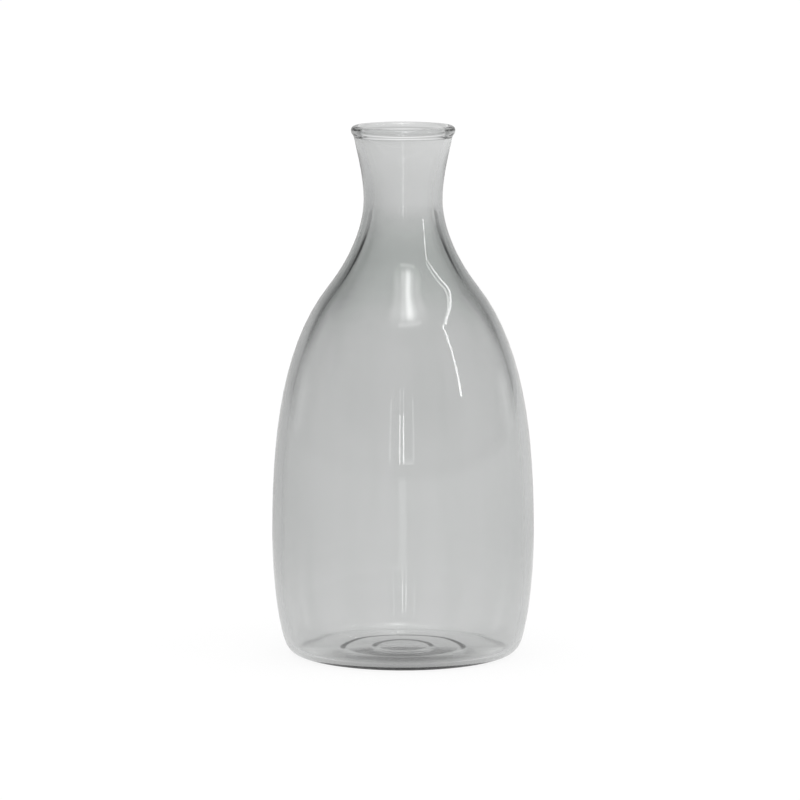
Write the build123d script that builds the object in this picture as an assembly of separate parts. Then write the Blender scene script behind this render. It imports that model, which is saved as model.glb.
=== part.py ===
from build123d import *
import os
from math import cos, radians, sin

# Bottle vase of smoke-grey glass, blown in one piece.
# Lengths are in millimetres. The vase stands on z = 0, centred on the Z axis.

# Heights, stacked from the table up
heel_height = 12.6       # table to the top of the rounded heel
belly_height = 45.3      # table to the widest place of the belly
shoulder_rise = 94.2     # widest place to where the shoulder turns from swelling to hollow
neck_rise = 32.5         # that turn to the narrowest place of the neck
mouth_rise = 28.0        # narrowest place to the top of the lip
lip_depth = 4.6          # top of the lip down to the throat, where the bead of the lip starts
lip_crown = 1.7          # top of the lip above the place where it is widest

# Radii of the outer skin
belly_radius = 49.6
neck_radius = 14.85
mouth_flare = 4.75       # lip's outermost edge beyond the narrowest place of the neck
throat_inset = 1.15      # throat inside the lip's outermost edge
heel_inset = 2.7         # top of the heel inside the belly
foot_inset = 8.0         # outer edge of the flat foot inside the top of the heel
foot_width = 14.9        # flat foot ring that the vase stands on

# Thickness of the glass, square to the outer skin
throat_wall = 2.4
neck_wall = 3.7
shoulder_wall = 3.5
belly_wall = 3.7
heel_wall = 2.9
base_wall = 2.2          # foot ring to the edge of the floor inside
lip_width = 3.6          # bead of the lip, measured level

# Floor inside, and the rings left by the tools under the base
floor_inset = 1.0        # edge of the floor inside the foot's outer edge
floor_crown = 0.9        # floor's middle above its edge
ring_rise = 0.6          # ring inside the foot, above the table
ring_step = 2.5          # width of the slope from the foot up to that ring
hub_radius = 9.5         # level middle of the underside
hub_rise = 0.4           # middle above the ring
hub_step = 2.5           # width of the slope from the ring up to the middle

# Lean of the skin out from upright, in degrees, going up
heel_lean = 11.0
shoulder_lean = -38.2
throat_lean = 12.5

# Place of the shoulder's turn between the neck's radius and the belly's
shoulder_share = 0.383

# Curve handles, each as a share of the straight line that the curve spans
heel_shares = (0.38, 0.50)
lower_belly_shares = (0.29, 0.29)
upper_belly_shares = (0.42, 0.28)
shoulder_shares = (0.40, 0.26)
mouth_shares = (0.34, 0.34)
lip_outer_shares = (0.45, 0.40)
lip_inner_shares = (0.35, 0.35)
crest_shares = (0.39, 0.39)
base_shares = (0.33, 0.33)

# Sizes that follow from the ones above
shoulder_height = belly_height + shoulder_rise
neck_height = shoulder_height + neck_rise
overall_height = neck_height + mouth_rise
throat_height = overall_height - lip_depth
brim_height = overall_height - lip_crown
heel_radius = belly_radius - heel_inset
foot_radius = heel_radius - foot_inset
ring_radius = foot_radius - foot_width
shoulder_radius = neck_radius + shoulder_share * (belly_radius - neck_radius)
mouth_radius = neck_radius + mouth_flare
throat_radius = mouth_radius - throat_inset

UP = Vector(0, 0, 1)
LEVEL_OUT = Vector(1, 0, 0)
LEVEL_IN = Vector(-1, 0, 0)


def at(radius, height):
    """A point of the half section, which lies in the XZ plane."""
    return Vector(radius, 0, height)


def climb(lean):
    """Direction up along a skin that leans out from upright."""
    return Vector(sin(radians(lean)), 0, cos(radians(lean)))


def outward(lean):
    """Direction out of the glass, square to a skin that leans out from upright."""
    return Vector(cos(radians(lean)), 0, -sin(radians(lean)))


def knot(radius, height, lean, wall):
    """One place on the section: outer point, the inner point behind it, and the skin's direction."""
    outer = at(radius, height)
    return outer, outer - outward(lean) * wall, climb(lean)


def curve(start, leaving, end, arriving, shares):
    """A smooth curve between two points, with the given directions at its ends."""
    span = (end - start).length
    return Bezier(start, start + leaving * (shares[0] * span), end - arriving * (shares[1] * span), end)


def skin(knots, shares, side):
    """The curves up one side of the glass: side 0 is the outer skin and side 1 the inner."""
    pairs = zip(knots, knots[1:], shares)
    return [curve(low[side], low[2], high[side], high[2], share) for low, high, share in pairs]


def wall_knots():
    """The places that shape the wall, from the heel up to the throat."""
    return [
        knot(heel_radius, heel_height, heel_lean, heel_wall),
        knot(belly_radius, belly_height, 0, belly_wall),
        knot(shoulder_radius, shoulder_height, shoulder_lean, shoulder_wall),
        knot(neck_radius, neck_height, 0, neck_wall),
        knot(throat_radius, throat_height, throat_lean, throat_wall),
    ]


def wall_curves(knots):
    """Outer and inner skin, each with its own curves, so that the wall's thickness varies."""
    shares = [lower_belly_shares, upper_belly_shares, shoulder_shares, mouth_shares]
    return skin(knots, shares, 0) + skin(knots, shares, 1)


def lip_curves(throat):
    """Fire-polished bead of the lip, on the thinner glass of the throat."""
    throat_out, throat_in, throat_climb = throat
    brim_out = at(mouth_radius, brim_height)
    brim_in = at(mouth_radius - lip_width, brim_height)
    crest = at(mouth_radius - lip_width / 2, overall_height)
    return [
        curve(throat_out, throat_climb, brim_out, UP, lip_outer_shares),
        curve(brim_out, UP, crest, LEVEL_IN, crest_shares),
        curve(brim_in, UP, crest, LEVEL_OUT, crest_shares),
        curve(throat_in, throat_climb, brim_in, UP, lip_inner_shares),
    ]


def heel_curves(heel):
    """Rounded heel, outside from the foot and inside from the edge of the floor."""
    heel_out, heel_in, heel_climb = heel
    foot_edge = at(foot_radius, 0)
    floor_edge = at(foot_radius - floor_inset, base_wall)
    return [
        curve(foot_edge, LEVEL_OUT, heel_out, heel_climb, heel_shares),
        curve(floor_edge, LEVEL_OUT, heel_in, heel_climb, heel_shares),
    ]


def floor_curves():
    """Crowned floor inside and the middle of the base below it."""
    floor_edge = at(foot_radius - floor_inset, base_wall)
    floor_middle = at(0, base_wall + floor_crown)
    under_middle = at(0, ring_rise + hub_rise)
    return [
        curve(floor_edge, LEVEL_IN, floor_middle, LEVEL_IN, base_shares),
        Line(floor_middle, under_middle),
    ]


def underside_curves():
    """Flat foot ring, and the two shallow steps inside it up to the middle."""
    hub_height = ring_rise + hub_rise
    hub_edge = at(hub_radius, hub_height)
    ring_in = at(hub_radius + hub_step, ring_rise)
    ring_out = at(ring_radius - ring_step, ring_rise)
    foot_in = at(ring_radius, 0)
    return [
        Line(at(0, hub_height), hub_edge),
        curve(hub_edge, LEVEL_OUT, ring_in, LEVEL_OUT, base_shares),
        Line(ring_in, ring_out),
        curve(ring_out, LEVEL_OUT, foot_in, LEVEL_OUT, base_shares),
        Line(foot_in, at(foot_radius, 0)),
    ]


def glass_vessel():
    """The vase: its half section turned once round the Z axis."""
    knots = wall_knots()
    wall = wall_curves(knots) + lip_curves(knots[-1])
    base = heel_curves(knots[0]) + floor_curves() + underside_curves()
    return revolve(make_face(wall + base), axis=Axis.Z)


vessel = glass_vessel()
vessel.label = "glass_vessel"

os.makedirs("parts", exist_ok=True)
export_step(vessel, "parts/glass_vessel.step")
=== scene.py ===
from math import cos, pi, radians, sin

import bmesh
import bpy
from bpy.props import FloatProperty, FloatVectorProperty, IntProperty, PointerProperty
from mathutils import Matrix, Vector


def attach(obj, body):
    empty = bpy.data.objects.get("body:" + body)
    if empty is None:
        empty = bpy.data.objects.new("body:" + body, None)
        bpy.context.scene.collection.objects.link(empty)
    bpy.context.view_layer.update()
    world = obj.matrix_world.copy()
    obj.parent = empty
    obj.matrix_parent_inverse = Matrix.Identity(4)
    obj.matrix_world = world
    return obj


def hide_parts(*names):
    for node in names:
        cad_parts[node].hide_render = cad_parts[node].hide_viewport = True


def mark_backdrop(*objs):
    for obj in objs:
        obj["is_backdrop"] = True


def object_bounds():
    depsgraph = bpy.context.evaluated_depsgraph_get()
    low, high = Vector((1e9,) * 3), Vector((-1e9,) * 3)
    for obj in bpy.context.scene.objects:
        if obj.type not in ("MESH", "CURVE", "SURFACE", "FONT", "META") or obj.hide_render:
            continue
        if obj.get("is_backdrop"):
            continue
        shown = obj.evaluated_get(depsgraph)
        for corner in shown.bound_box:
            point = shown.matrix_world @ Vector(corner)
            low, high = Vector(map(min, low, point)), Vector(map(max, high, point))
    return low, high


bl_info = {
    "name": "Smoke Glass Bottle Vase",
    "version": (1, 0, 0),
    "blender": (4, 5, 0),
    "location": "3D View > Sidebar > Vase",
    "description": "Blows a bottle vase of smoke-grey glass and sets it on a white stage",
    "category": "Add Mesh",
}

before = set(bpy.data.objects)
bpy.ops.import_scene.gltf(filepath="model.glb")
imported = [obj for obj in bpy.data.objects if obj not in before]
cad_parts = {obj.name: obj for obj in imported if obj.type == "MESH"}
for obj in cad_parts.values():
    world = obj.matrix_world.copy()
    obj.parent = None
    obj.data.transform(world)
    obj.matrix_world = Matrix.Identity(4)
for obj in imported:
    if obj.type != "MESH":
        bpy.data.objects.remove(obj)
cad_low, cad_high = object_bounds()

MERGE_DISTANCE = 1e-6

# Curve handles, each as a share of the straight line that the curve spans, as in the solid
HEEL_SHARES = (0.38, 0.50)
LOWER_BELLY_SHARES = (0.29, 0.29)
UPPER_BELLY_SHARES = (0.42, 0.28)
SHOULDER_SHARES = (0.40, 0.26)
MOUTH_SHARES = (0.34, 0.34)
LIP_OUTER_SHARES = (0.45, 0.40)
LIP_INNER_SHARES = (0.35, 0.35)
CREST_SHARES = (0.39, 0.39)
BASE_SHARES = (0.33, 0.33)

# Place of the shoulder's turn between the neck's radius and the belly's
SHOULDER_TURN_SHARE = 0.383

UP = Vector((0.0, 0.0, 1.0))
LEVEL_OUT = Vector((1.0, 0.0, 0.0))

# Marks in the glass: how fine each noise is, and the noise's values between which the mark comes in
STREAK_DETAIL = 3.0
STREAK_VALUES = (0.45, 0.75)
STREAK_STRETCH_SHARE = 0.12
SMUDGE_DETAIL = 4.0
SMUDGE_VALUES = (0.55, 0.80)
SCUFF_DETAIL = 2.0
SCUFFS_PER_SMUDGE = 8.0
RIPPLE_DETAIL = 1.0

# Places of the colours among the Mix node's sockets
MIX_FIRST = 6
MIX_SECOND = 7
MIX_RESULT = 2

# The floor, and the part of the vase's shadow that the camera sees on it
FLOOR_REACH = 12.0
FLOOR_DROP = 0.0002
SHADOW_SHARE = 0.15

# The studio's cards: name, middle, half width, lower and upper edge and softness of the edges in
# degrees, and brightness. Bearings are measured from straight behind the vase, towards the right.
STUDIO_CARDS = (
    ("ceiling", 0.0, 200.0, 46.0, 110.0, 8.0, 0.30),
    ("dark front", 180.0, 60.0, 9.0, 44.0, 6.0, 0.06),
    ("backdrop foot", 0.0, 35.0, -20.0, 9.0, 5.0, 0.90),
    ("backdrop left", -25.0, 10.0, 10.0, 28.0, 5.0, 0.52),
    ("backdrop right", 25.0, 13.0, 9.0, 28.0, 5.0, 0.70),
    ("backdrop middle", 0.0, 15.0, -20.0, 62.0, 5.0, 0.88),
    ("backdrop strip", 0.0, 16.0, 11.5, 15.5, 1.2, 1.5),
    ("left flag", -45.0, 6.0, 9.0, 40.0, 3.0, 0.0),
    ("right flag", 44.0, 4.5, 10.0, 22.0, 3.0, 0.08),
    ("left panel", -62.0, 8.0, 5.0, 28.0, 4.0, 0.70),
    ("right panel", 60.0, 10.0, 10.0, 28.0, 5.0, 0.45),
    ("left panel foot", -64.0, 6.0, -6.0, 8.0, 2.5, 1.2),
    ("right panel foot", 62.0, 6.0, -6.0, 8.0, 2.5, 1.3),
    ("overhead", 0.0, 200.0, 74.0, 110.0, 6.0, 3.0),
    ("overhead halo", 170.0, 34.0, 53.0, 110.0, 7.0, 2.1),
    ("overhead glow", 169.0, 15.0, 53.5, 110.0, 4.0, 4.1),
    ("overhead core", 167.0, 6.0, 54.0, 110.0, 4.0, 9.0),
    ("overhead rim", 169.0, 18.0, 49.0, 50.8, 0.8, 3.0),
)

# The strip lights: name, place, point that it faces, width, height and brightness
RIGHT_STRIP = ("right_strip", (1.0, -0.62, 0.79), (0.0, 0.0, 0.79), 0.042, 0.78, 12.0)
TOP_STRIP = ("top_strip", (1.0, -0.17, 1.12), (0.0, -0.17, 0.12), 0.68, 0.036, 9.0)

# Bounces of its light up to which the right strip shows
STRIP_BOUNCES = 3

# The window's lights: name, sideways place, width, lower and upper edge, and brightness
WINDOW_LIGHTS = (
    ("left_slit", -0.078, 0.03, 0.14, 0.44, 5.2),
    ("right_slit", 0.014, 0.03, 0.14, 0.44, 6.0),
    ("left_slit_top", -0.074, 0.03, 0.445, 0.67, 1.0),
    ("right_slit_top", 0.014, 0.03, 0.445, 0.67, 1.3),
    ("left_frame", -0.31, 0.04, 0.15, 0.58, 1.2),
    ("right_frame", 0.25, 0.04, 0.15, 0.58, 1.2),
    ("sill", 0.14, 0.22, 0.14, 0.155, 2.0),
)

# The window's place in front of the vase
WINDOW_PLACE = -1.5


def length(name, description, default):
    """A size in metres that a user may change."""
    return FloatProperty(name=name, description=description, default=default, min=0.0,
                         precision=4, unit="LENGTH", subtype="DISTANCE")


def angle(name, description, degrees):
    """An angle that a user may change."""
    return FloatProperty(name=name, description=description, default=radians(degrees), subtype="ANGLE")


def amount(name, description, default):
    """A plain number that a user may change."""
    return FloatProperty(name=name, description=description, default=default, min=0.0, precision=4)


def colour(name, description, default):
    """A linear colour that a user may change."""
    return FloatVectorProperty(name=name, description=description, default=default, size=3,
                               min=0.0, max=1.0, subtype="COLOR")


class VesselSizes(bpy.types.PropertyGroup):
    """Sizes of the blown vessel."""

    overall_height: length("Height", "Table to the top of the lip", cad_high.z - cad_low.z)
    belly_radius: length("Belly radius", "Outer skin at the widest place", (cad_high.y - cad_low.y) / 2)
    heel_height: length("Heel height", "Table to the top of the rounded heel", 0.0126)
    belly_height: length("Belly height", "Table to the widest place", 0.0453)
    shoulder_rise: length("Shoulder rise", "Widest place to the shoulder's turn", 0.0942)
    neck_rise: length("Neck rise", "Shoulder's turn to the narrowest place", 0.0325)
    lip_depth: length("Lip depth", "Top of the lip down to the throat", 0.0046)
    lip_crown: length("Lip crown", "Top of the lip above its widest place", 0.0017)
    neck_radius: length("Neck radius", "Outer skin at the narrowest place", 0.01485)
    mouth_flare: length("Mouth flare", "Lip's outermost edge beyond the neck", 0.00475)
    throat_inset: length("Throat inset", "Throat inside the lip's outermost edge", 0.00115)
    heel_inset: length("Heel inset", "Top of the heel inside the belly", 0.0027)
    foot_inset: length("Foot inset", "Edge of the flat foot inside the heel", 0.0080)
    foot_width: length("Foot width", "Flat ring that the vase stands on", 0.0149)
    throat_wall: length("Throat wall", "Glass below the bead of the lip", 0.0024)
    neck_wall: length("Neck wall", "Glass at the narrowest place", 0.0037)
    shoulder_wall: length("Shoulder wall", "Glass at the shoulder's turn", 0.0035)
    belly_wall: length("Belly wall", "Glass at the widest place", 0.0037)
    heel_wall: length("Heel wall", "Glass at the top of the heel", 0.0029)
    base_wall: length("Base wall", "Foot ring to the edge of the floor inside", 0.0022)
    lip_width: length("Lip width", "Bead of the lip, measured level", 0.0036)
    floor_inset: length("Floor inset", "Edge of the floor inside the foot's edge", 0.0010)
    floor_crown: length("Floor crown", "Floor's middle above its edge", 0.0009)
    ring_rise: length("Ring rise", "Ring inside the foot, above the table", 0.0006)
    ring_step: length("Ring step", "Width of the slope from the foot to the ring", 0.0025)
    hub_radius: length("Hub radius", "Level middle of the underside", 0.0095)
    hub_rise: length("Hub rise", "Middle of the underside above the ring", 0.0004)
    hub_step: length("Hub step", "Width of the slope from the ring to the middle", 0.0025)
    heel_lean: angle("Heel lean", "Lean of the skin at the top of the heel", 11.0)
    shoulder_lean: angle("Shoulder lean", "Lean of the skin at the shoulder's turn", -38.2)
    throat_lean: angle("Throat lean", "Lean of the skin below the lip", 12.5)
    curve_steps: IntProperty(name="Curve steps", description="Edges in each curve of the section",
                             default=14, min=2)
    turn_steps: IntProperty(name="Turn steps", description="Steps round the axis", default=256, min=8)


class GlassFinish(bpy.types.PropertyGroup):
    """Colour and surface of the smoke glass."""

    tint: colour("Tint", "Smoke grey that white light turns to in the glass", (0.577, 0.589, 0.585))
    depth: amount("Depth", "How fast the glass darkens, in shares per metre", 150.0)
    refraction: amount("Refraction", "Index of refraction of soda-lime glass", 1.5)
    clear_colour: colour("Clear colour", "The glass's surface between the streaks", (1.0, 1.0, 1.0))
    streak_colour: colour("Streak colour", "Faint streaks left by the blowing", (0.965, 0.970, 0.967))
    streak_scale: amount("Streak scale", "Streaks in a metre, round the vase", 70.0)
    # Shoulder band below: painted shade, a darker colour round the shoulder where the glass mirrors its
    # dark surroundings; the glass's smoke is no deeper there.
    shoulder_shade_colour: colour("Band colour", "Deeper smoke round the shoulder", (0.876, 0.891, 0.881))
    shoulder_shade_low: length("Band low", "Where the deeper smoke starts", 0.118)
    shoulder_shade_middle: length("Band middle", "Where it is deepest", 0.150)
    shoulder_shade_high: length("Band high", "Where it has faded out", 0.172)
    ripple_scale: amount("Ripple scale", "Slow waves of the hot glass in a metre", 22.0)
    ripple_depth: length("Ripple depth", "Depth of the slow waves", 0.00012)
    smudge_scale: amount("Smudge scale", "Finger marks in a metre", 38.0)
    smudge_roughness: amount("Smudge roughness", "Roughness at the heart of a finger mark", 0.012)
    wear_height: length("Wear height", "Height up to which the foot is scuffed", 0.0004)
    wear_roughness: amount("Wear roughness", "Roughness of the scuffed foot", 0.10)


class StageLook(bpy.types.PropertyGroup):
    """Floor, surroundings and camera."""

    floor_colour: colour("Floor colour", "Pale floor that the vase stands on", (0.95, 0.95, 0.95))
    floor_level: amount("Floor level", "Brightness of the floor near the vase, to the glass", 0.925)
    far_level: amount("Far level", "Brightness of the floor far from the vase", 0.82)
    far_start: length("Far start", "Distance at which the floor starts to dim", 1.0)
    far_end: length("Far end", "Distance at which it has dimmed", 4.0)
    left_share: amount("Left share", "Brightness that is left on the floor's dim left side", 0.83)
    right_share: amount("Right share", "Brightness of the floor's right side beside the middle", 1.04)
    left_reach: length("Left reach", "How far to the left the floor gets dimmer", 0.6)
    right_reach: length("Right reach", "How far to the right the floor gets brighter", 0.4)
    shade_share: amount("Shade share", "Brightness that is left under the vase", 0.23)
    shade_forward: length("Shade forward", "Middle of the shade in front of the axis", 0.018)
    shade_start: length("Shade start", "Distance from there at which the shade starts to fade", 0.0)
    shade_end: length("Shade end", "Distance at which it has faded", 0.050)
    lit_start: length("Lit start", "Distance from the axis at which the foot's shade starts to end", 0.0395)
    lit_end: length("Lit end", "Distance from the axis at which the floor is fully lit", 0.0425)
    gloss_level: amount("Gloss level", "Brightness that the streak adds to the floor in front", 0.55)
    gloss_turn: angle("Gloss turn", "Bearing of the streak from straight in front, to the right", -0.9)
    gloss_core: angle("Gloss core", "Bearing beside that at which the streak starts to fade", 2.4)
    gloss_spread: angle("Gloss spread", "Bearing beside that at which it has faded", 4.2)
    gloss_start: length("Gloss start", "Distance from the axis at which the streak starts", 0.20)
    gloss_end: length("Gloss end", "Distance from the axis at which it is brightest", 0.28)
    tent_foot: angle("Tent foot", "Height at which the tent starts to dim", -2.0)
    tent_top: angle("Tent top", "Height at which it has dimmed", 30.0)
    tent_foot_level: amount("Tent foot level", "Brightness of the tent at its foot", 0.66)
    tent_top_level: amount("Tent top level", "Brightness of the tent where it has dimmed", 0.08)
    room_glow: amount("Room glow", "Even light of the room on the floor", 1.0)
    white_level: amount("White level", "Brightness of the floor to the camera", 1.06)
    camera_distance: length("Camera distance", "Camera to the point it looks at", 1.9)
    camera_height: length("Camera target height", "Height of the point that the camera looks at", 0.09617)
    camera_side: FloatProperty(name="Camera target side", description="Sideways place of that point",
                               default=-0.00117, precision=5, unit="LENGTH", subtype="DISTANCE")
    camera_elevation: angle("Camera elevation", "Camera above the level", 8.0)
    lens: FloatProperty(name="Lens", description="Focal length in millimetres", default=226.5)


def at(radius, height):
    """A point of the half section, which lies in the XZ plane."""
    return Vector((radius, 0.0, height))


def climb(slant):
    """Direction up along a skin that leans out from upright."""
    return Vector((sin(slant), 0.0, cos(slant)))


def outward(slant):
    """Direction out of the glass, square to a skin that leans out from upright."""
    return Vector((cos(slant), 0.0, -sin(slant)))


def wall_stations(sizes):
    """Outer point, lean and wall of each place that shapes the wall, from the heel up to the throat."""
    shoulder_height = sizes.belly_height + sizes.shoulder_rise
    turn_radius = sizes.neck_radius + SHOULDER_TURN_SHARE * (sizes.belly_radius - sizes.neck_radius)
    throat_radius = sizes.neck_radius + sizes.mouth_flare - sizes.throat_inset
    throat_height = sizes.overall_height - sizes.lip_depth
    return [
        (at(sizes.belly_radius - sizes.heel_inset, sizes.heel_height), sizes.heel_lean, sizes.heel_wall),
        (at(sizes.belly_radius, sizes.belly_height), 0.0, sizes.belly_wall),
        (at(turn_radius, shoulder_height), sizes.shoulder_lean, sizes.shoulder_wall),
        (at(sizes.neck_radius, shoulder_height + sizes.neck_rise), 0.0, sizes.neck_wall),
        (at(throat_radius, throat_height), sizes.throat_lean, sizes.throat_wall),
    ]


def underside_points(sizes, foot_radius):
    """Underside from its middle, down two shallow steps, to the flat foot."""
    ring_radius = foot_radius - sizes.foot_width
    hub_height = sizes.ring_rise + sizes.hub_rise
    return [
        (at(0.0, hub_height), LEVEL_OUT),
        (at(sizes.hub_radius, hub_height), LEVEL_OUT),
        (at(sizes.hub_radius + sizes.hub_step, sizes.ring_rise), LEVEL_OUT),
        (at(ring_radius - sizes.ring_step, sizes.ring_rise), LEVEL_OUT),
        (at(ring_radius, 0.0), LEVEL_OUT),
        (at(foot_radius, 0.0), LEVEL_OUT),
    ]


def lip_points(sizes):
    """Bead of the lip: outermost place, crest and innermost place."""
    mouth_radius = sizes.neck_radius + sizes.mouth_flare
    brim_height = sizes.overall_height - sizes.lip_crown
    return [
        (at(mouth_radius, brim_height), UP),
        (at(mouth_radius - sizes.lip_width / 2, sizes.overall_height), -LEVEL_OUT),
        (at(mouth_radius - sizes.lip_width, brim_height), -UP),
    ]


def vessel_section(sizes):
    """The half section from the underside's middle, over the lip, to the floor's middle.

    Returns its points with the direction of travel at each, and the handle shares between them.
    """
    walls = wall_stations(sizes)
    foot_radius = sizes.belly_radius - sizes.heel_inset - sizes.foot_inset
    under = underside_points(sizes, foot_radius)
    floor = [
        (at(foot_radius - sizes.floor_inset, sizes.base_wall), -LEVEL_OUT),
        (at(0.0, sizes.base_wall + sizes.floor_crown), -LEVEL_OUT),
    ]
    outer_skin = [(outer, climb(slant)) for outer, slant, wall in walls]
    inner_skin = [(outer - outward(slant) * wall, -climb(slant)) for outer, slant, wall in reversed(walls)]
    rising = [HEEL_SHARES, LOWER_BELLY_SHARES, UPPER_BELLY_SHARES, SHOULDER_SHARES, MOUTH_SHARES]
    falling = [pair[::-1] for pair in reversed(rising)]
    lip = [LIP_OUTER_SHARES, CREST_SHARES, CREST_SHARES, LIP_INNER_SHARES]
    points = under + outer_skin + lip_points(sizes) + inner_skin + floor
    return points, [BASE_SHARES] * (len(under) - 1) + rising + lip + falling + [BASE_SHARES]


def section_mesh(points, shares, steps):
    """The section as a chain of edges, read from a curve with those handles."""
    curve = bpy.data.curves.new("vessel_section", "CURVE")
    curve.dimensions = "3D"
    spline = curve.splines.new("BEZIER")
    spline.resolution_u = steps
    spline.bezier_points.add(len(points) - 1)
    spans = [(after[0] - before[0]).length for before, after in zip(points, points[1:])]
    reach_out = [pair[0] * span for pair, span in zip(shares, spans)] + [0.0]
    reach_back = [0.0] + [pair[1] * span for pair, span in zip(shares, spans)]
    for knot, (place, heading), ahead, behind in zip(spline.bezier_points, points, reach_out, reach_back):
        knot.handle_left_type = "FREE"
        knot.handle_right_type = "FREE"
        knot.co = place
        knot.handle_left = place - heading * behind
        knot.handle_right = place + heading * ahead
    holder = bpy.data.objects.new("vessel_section", curve)
    chain = bpy.data.meshes.new_from_object(holder)
    bpy.data.objects.remove(holder)
    bpy.data.curves.remove(curve)
    return chain


def turned_mesh(name, chain, steps):
    """A closed body made by turning a chain of edges once round the Z axis."""
    mesh = bpy.data.meshes.new(name)
    body = bmesh.new()
    body.from_mesh(chain)
    bmesh.ops.spin(body, geom=body.verts[:] + body.edges[:], axis=(0.0, 0.0, 1.0),
                   angle=2 * pi, steps=steps, use_merge=True)
    bmesh.ops.remove_doubles(body, verts=body.verts[:], dist=MERGE_DISTANCE)
    bmesh.ops.recalc_face_normals(body, faces=body.faces[:])
    for face in body.faces:
        face.smooth = True
    body.to_mesh(mesh)
    body.free()
    bpy.data.meshes.remove(chain)
    return mesh


def shown(name, mesh, material):
    """Puts a mesh in the scene with its material."""
    piece = bpy.data.objects.new(name, mesh)
    mesh.materials.append(material)
    bpy.context.scene.collection.objects.link(piece)
    return piece


def place(tree, kind, inputs=None, **settings):
    """Adds a node with its settings, and a value or a link for each named input."""
    node = tree.nodes.new(kind)
    for name, value in settings.items():
        setattr(node, name, value)
    for socket, value in (inputs or {}).items():
        if isinstance(value, bpy.types.NodeSocket):
            tree.links.new(value, node.inputs[socket])
        else:
            node.inputs[socket].default_value = value
    return node


def empty_material(name):
    """A material with a bare node tree."""
    material = bpy.data.materials.new(name)
    material.use_nodes = True
    material.node_tree.nodes.clear()
    return material, material.node_tree


def noise(tree, coordinates, scale, detail):
    """A soft noise over the piece, as a value from 0 to 1."""
    node = place(tree, "ShaderNodeTexNoise", {"Vector": coordinates, "Scale": scale, "Detail": detail})
    return node.outputs["Fac"]


def fade(tree, value, start, end, low, high):
    """A value carried smoothly from one range to another."""
    node = place(tree, "ShaderNodeMapRange", {
        "Value": value, "From Min": start, "From Max": end, "To Min": low, "To Max": high,
    }, interpolation_type="SMOOTHSTEP")
    return node.outputs["Result"]


def combine(tree, operation, first, second):
    """Two values put together by a sum, a product or the like."""
    return place(tree, "ShaderNodeMath", {0: first, 1: second}, operation=operation).outputs[0]


def between(tree, part, first, second, label=""):
    """A value between two values."""
    values = {"Factor": part, "A": first, "B": second}
    return place(tree, "ShaderNodeMix", values, data_type="FLOAT", label=label).outputs[0]


def blend(tree, part, first, second):
    """A colour between two colours."""
    colours = {"Factor": part, MIX_FIRST: first, MIX_SECOND: second}
    return place(tree, "ShaderNodeMix", colours, data_type="RGBA").outputs[MIX_RESULT]


def height_of(tree, coordinates):
    """Height above the table."""
    return place(tree, "ShaderNodeSeparateXYZ", {0: coordinates}).outputs["Z"]


def surface_colour(tree, coordinates, finish):
    """Colour of the glass's surface, with faint upright streaks and a band of painted shade round the
    shoulder.
    """
    stretch = {"Vector": coordinates, "Scale": (1.0, 1.0, STREAK_STRETCH_SHARE)}
    drawn = place(tree, "ShaderNodeMapping", stretch).outputs[0]
    streak = fade(tree, noise(tree, drawn, finish.streak_scale, STREAK_DETAIL), *STREAK_VALUES, 0.0, 1.0)
    streaked = blend(tree, streak, (*finish.clear_colour, 1.0), (*finish.streak_colour, 1.0))
    height = height_of(tree, coordinates)
    # Painted shade: a darker band round the shoulder, standing in for the dark surroundings that the
    # shoulder mirrors.
    rising = fade(tree, height, finish.shoulder_shade_low, finish.shoulder_shade_middle, 0.0, 1.0)
    falling = fade(tree, height, finish.shoulder_shade_middle, finish.shoulder_shade_high, 1.0, 0.0)
    return blend(tree, combine(tree, "MULTIPLY", rising, falling), streaked, (*finish.shoulder_shade_colour, 1.0))


def marks(tree, coordinates, finish):
    """Roughness: polished, with finger marks, and scuffed where the foot touches the table."""
    touched = noise(tree, coordinates, finish.smudge_scale, SMUDGE_DETAIL)
    smudge = fade(tree, touched, *SMUDGE_VALUES, 0.0, finish.smudge_roughness)
    scuffed = noise(tree, coordinates, finish.smudge_scale * SCUFFS_PER_SMUDGE, SCUFF_DETAIL)
    foot = fade(tree, height_of(tree, coordinates), 0.0, finish.wear_height, finish.wear_roughness, 0.0)
    return combine(tree, "MAXIMUM", smudge, combine(tree, "MULTIPLY", foot, scuffed))


def smoke_glass(finish):
    """Clear smoke-grey glass, blown and fire polished."""
    material, tree = empty_material("smoke_glass")
    coordinates = place(tree, "ShaderNodeTexCoord").outputs["Object"]
    ripple = place(tree, "ShaderNodeBump", {
        "Height": noise(tree, coordinates, finish.ripple_scale, RIPPLE_DETAIL),
        "Strength": 1.0,
        "Distance": finish.ripple_depth,
    })
    surface = place(tree, "ShaderNodeBsdfPrincipled", {
        "Base Color": surface_colour(tree, coordinates, finish),
        "Roughness": marks(tree, coordinates, finish),
        "IOR": finish.refraction,
        "Transmission Weight": 1.0,
        "Normal": ripple.outputs["Normal"],
    })
    smoke = place(tree, "ShaderNodeVolumeAbsorption", {
        "Color": (*finish.tint, 1.0),
        "Density": finish.depth,
    })
    place(tree, "ShaderNodeOutputMaterial", {
        "Surface": surface.outputs["BSDF"],
        "Volume": smoke.outputs["Volume"],
    })
    return material


class VASE_OT_vessel(bpy.types.Operator):
    """Blow the glass vessel: lip, neck, shoulder, belly, heel and ringed base in one body"""

    bl_idname = "vase.vessel"
    bl_label = "Blow Vessel"

    def execute(self, context):
        sizes = context.scene.vase_sizes
        points, shares = vessel_section(sizes)
        chain = section_mesh(points, shares, sizes.curve_steps)
        mesh = turned_mesh("glass_body", chain, sizes.turn_steps)
        vessel = shown("glass_body", mesh, smoke_glass(context.scene.vase_finish))
        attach(vessel, "root")
        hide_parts("glass_vessel")
        return {"FINISHED"}


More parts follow.
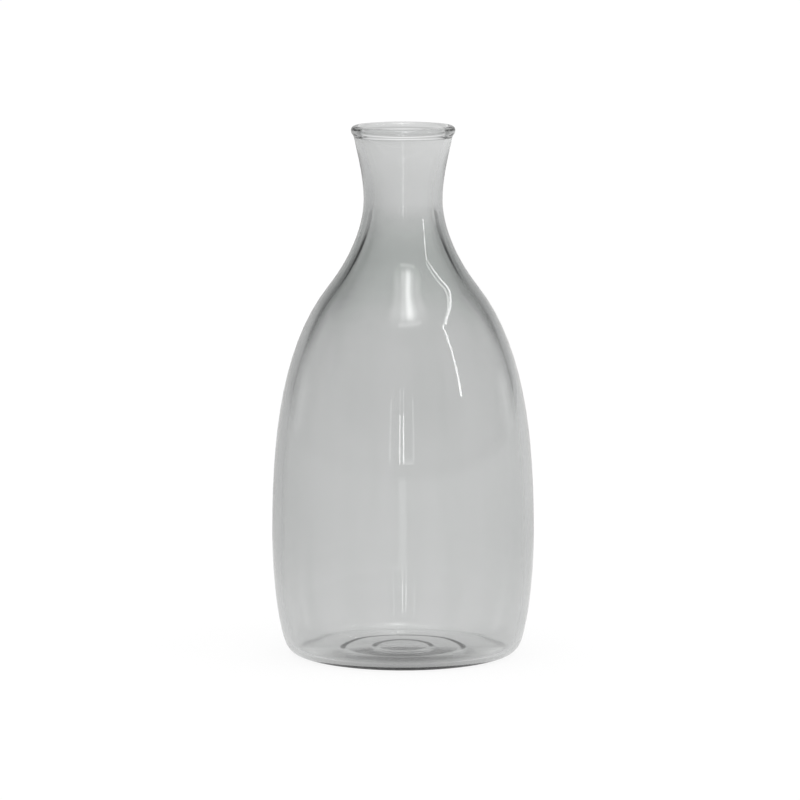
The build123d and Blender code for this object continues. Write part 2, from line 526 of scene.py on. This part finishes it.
def glass_rays(tree):
    """1 for light that the glass mirrors or lets through, otherwise 0."""
    rays = place(tree, "ShaderNodeLightPath")
    return combine(tree, "MAXIMUM", rays.outputs["Is Glossy Ray"], rays.outputs["Is Transmission Ray"])


def distance(tree, vector):
    """Length of a vector."""
    return place(tree, "ShaderNodeVectorMath", {0: vector}, operation="LENGTH").outputs["Value"]


def unsigned(tree, value):
    """A value without its sign."""
    return place(tree, "ShaderNodeMath", {0: value}, operation="ABSOLUTE").outputs[0]


def floor_gloss(tree, coordinates, reach, look):
    """Pale streak that the window draws on the smooth floor in front of the vase."""
    split = place(tree, "ShaderNodeSeparateXYZ", {0: coordinates})
    forward = combine(tree, "MULTIPLY", split.outputs["Y"], -1.0)
    bearing = combine(tree, "ARCTAN2", split.outputs["X"], forward)
    aside = unsigned(tree, combine(tree, "SUBTRACT", bearing, look.gloss_turn))
    across = fade(tree, aside, look.gloss_core, look.gloss_spread, look.gloss_level, 0.0)
    along = fade(tree, reach, look.gloss_start, look.gloss_end, 0.0, 1.0)
    return combine(tree, "MULTIPLY", across, along)


def floor_glow(tree, look):
    """The floor's brightness to the glass: dim far off, at the left and under the vase, and its streak."""
    coordinates = place(tree, "ShaderNodeTexCoord").outputs["Object"]
    reach = distance(tree, coordinates)
    open_floor = fade(tree, reach, look.far_start, look.far_end, look.floor_level, look.far_level)
    sideways = place(tree, "ShaderNodeSeparateXYZ", {0: coordinates}).outputs["X"]
    tilt = fade(tree, sideways, -look.left_reach, look.right_reach, look.left_share, look.right_share)
    shift = {0: coordinates, 1: (0.0, look.shade_forward, 0.0)}
    moved = place(tree, "ShaderNodeVectorMath", shift, operation="ADD").outputs[0]
    under = fade(tree, distance(tree, moved), look.shade_start, look.shade_end, look.shade_share, 1.0)
    shade = combine(tree, "MAXIMUM", under, fade(tree, reach, look.lit_start, look.lit_end, 0.0, 1.0))
    matt = combine(tree, "MULTIPLY", shade, combine(tree, "MULTIPLY", tilt, open_floor))
    return combine(tree, "ADD", matt, floor_gloss(tree, coordinates, reach, look))


def floor_material(look):
    """Pale floor: white to the camera with part of the vase's shadow, and its own glow to the glass."""
    material, tree = empty_material("pale_floor")
    rays = place(tree, "ShaderNodeLightPath")
    through_glass = glass_rays(tree)
    level = between(tree, through_glass, look.white_level, floor_glow(tree, look))
    paper = place(tree, "ShaderNodeBsdfDiffuse", {"Color": (*look.floor_colour, 1.0)})
    glow = place(tree, "ShaderNodeEmission", {"Strength": level})
    camera_part = combine(tree, "MULTIPLY", rays.outputs["Is Camera Ray"], 1.0 - SHADOW_SHARE)
    part = combine(tree, "MAXIMUM", through_glass, camera_part)
    both = place(tree, "ShaderNodeMixShader", {0: part, 1: paper.outputs[0], 2: glow.outputs[0]})
    place(tree, "ShaderNodeOutputMaterial", {"Surface": both.outputs[0]})
    return material


def floor_piece(look):
    """One large flat square under the vase."""
    mesh = bpy.data.meshes.new("floor")
    sheet = bmesh.new()
    bmesh.ops.create_grid(sheet, x_segments=1, y_segments=1, size=FLOOR_REACH)
    bmesh.ops.translate(sheet, verts=sheet.verts[:], vec=(0.0, 0.0, -FLOOR_DROP))
    sheet.to_mesh(mesh)
    sheet.free()
    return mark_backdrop(shown("floor", mesh, floor_material(look)))


def card(tree, bearing, height, level, soft_card):
    """A soft-edged card of the studio, laid over the level so far."""
    name, middle, half_width, low, high, edge, brightness = soft_card
    aside = combine(tree, "SUBTRACT", bearing, radians(middle))
    turn = place(tree, "ShaderNodeMath", {0: aside, 1: -pi, 2: pi}, operation="WRAP").outputs[0]
    away = unsigned(tree, turn)
    across = fade(tree, away, radians(half_width - edge), radians(half_width + edge), 1.0, 0.0)
    above = fade(tree, height, radians(low - edge), radians(low + edge), 0.0, 1.0)
    below = fade(tree, height, radians(high - edge), radians(high + edge), 1.0, 0.0)
    mask = combine(tree, "MULTIPLY", across, combine(tree, "MULTIPLY", above, below))
    return between(tree, mask, level, brightness, label=name)


def surroundings(look):
    """White to the camera, a tent with its cards to the glass, and an even glow for the floor."""
    world = bpy.data.worlds.new("studio")
    bpy.context.scene.world = world
    world.use_nodes = True
    tree = world.node_tree
    tree.nodes.clear()
    rays = place(tree, "ShaderNodeLightPath")
    way = place(tree, "ShaderNodeTexCoord").outputs["Generated"]
    split = place(tree, "ShaderNodeSeparateXYZ", {0: way})
    bearing = combine(tree, "ARCTAN2", split.outputs["X"], split.outputs["Y"])
    height = place(tree, "ShaderNodeMath", {0: split.outputs["Z"]}, operation="ARCSINE").outputs[0]
    level = fade(tree, height, look.tent_foot, look.tent_top, look.tent_foot_level, look.tent_top_level)
    for soft_card in STUDIO_CARDS:
        level = card(tree, bearing, height, level, soft_card)
    unseen = between(tree, glass_rays(tree), look.room_glow, level)
    total = between(tree, rays.outputs["Is Camera Ray"], unseen, 1.0)
    glow = place(tree, "ShaderNodeBackground", {"Strength": total})
    place(tree, "ShaderNodeOutputWorld", {"Surface": glow.outputs[0]})


def lamp(name, centre, aim, width, height, radiance):
    """A flat lamp at a place, turned towards a point, of an even brightness."""
    light = bpy.data.lights.new(name, "AREA")
    light.shape = "RECTANGLE"
    light.size = width
    light.size_y = height
    light.energy = radiance * pi * width * height
    holder = bpy.data.objects.new(name, light)
    holder.location = centre
    holder.rotation_euler = (Vector(aim) - Vector(centre)).to_track_quat("-Z", "Y").to_euler()
    holder.visible_camera = False
    bpy.context.scene.collection.objects.link(holder)
    return holder


def few_bounces(holder):
    """Hides a lamp from light paths that have bounced about inside the vase."""
    light = holder.data
    light.use_nodes = True
    tree = light.node_tree
    tree.nodes.clear()
    bounces = place(tree, "ShaderNodeLightPath").outputs["Ray Depth"]
    shows = combine(tree, "LESS_THAN", bounces, STRIP_BOUNCES + 0.5)
    glow = place(tree, "ShaderNodeEmission", {"Strength": shows})
    place(tree, "ShaderNodeOutputLight", {"Surface": glow.outputs[0]})


def lamps():
    """Tent lights: an upright strip and a top strip at the right, and a window with two slits in front."""
    few_bounces(lamp(*RIGHT_STRIP))
    lamp(*TOP_STRIP)
    for name, side, width, low, high, radiance in WINDOW_LIGHTS:
        middle = (low + high) / 2
        lamp(name, (side, WINDOW_PLACE, middle), (side, 0.0, middle), width, high - low, radiance)


def camera(look):
    """A long lens in front of the vase and a little above it."""
    data = bpy.data.cameras.new("camera")
    data.lens = look.lens
    holder = bpy.data.objects.new("camera", data)
    target = Vector((look.camera_side, 0.0, look.camera_height))
    away = Vector((0.0, -cos(look.camera_elevation), sin(look.camera_elevation)))
    holder.location = target + away * look.camera_distance
    holder.rotation_euler = (-away).to_track_quat("-Z", "Y").to_euler()
    bpy.context.scene.collection.objects.link(holder)
    bpy.context.scene.camera = holder


class VASE_OT_stage(bpy.types.Operator):
    """Lay the pale floor, hang the lamps and set up the camera"""

    bl_idname = "vase.stage"
    bl_label = "Set Stage"

    def execute(self, context):
        look = context.scene.vase_stage
        context.scene.view_settings.view_transform = "Standard"
        floor_piece(look)
        surroundings(look)
        lamps()
        camera(look)
        return {"FINISHED"}


class VASE_PT_panel(bpy.types.Panel):
    """Sizes, finish and operators of the vase"""

    bl_idname = "VASE_PT_panel"
    bl_label = "Bottle Vase"
    bl_space_type = "VIEW_3D"
    bl_region_type = "UI"
    bl_category = "Vase"

    def draw(self, context):
        for group in (context.scene.vase_sizes, context.scene.vase_finish, context.scene.vase_stage):
            box = self.layout.box()
            for name in group.__annotations__:
                box.prop(group, name)
        for operator in (VASE_OT_vessel, VASE_OT_stage):
            self.layout.operator(operator.bl_idname)


CLASSES = (VesselSizes, GlassFinish, StageLook, VASE_OT_vessel, VASE_OT_stage, VASE_PT_panel)


def register():
    """Registers the classes and hangs the settings on the scene."""
    for kind in CLASSES:
        bpy.utils.register_class(kind)
    bpy.types.Scene.vase_sizes = PointerProperty(type=VesselSizes)
    bpy.types.Scene.vase_finish = PointerProperty(type=GlassFinish)
    bpy.types.Scene.vase_stage = PointerProperty(type=StageLook)


def unregister():
    """Takes the settings and the classes away again."""
    del bpy.types.Scene.vase_stage
    del bpy.types.Scene.vase_finish
    del bpy.types.Scene.vase_sizes
    for kind in reversed(CLASSES):
        bpy.utils.unregister_class(kind)


def main():
    """Builds the vase and its stage."""
    register()
    bpy.ops.vase.vessel()
    bpy.ops.vase.stage()


if __name__ == "__main__":
    main()
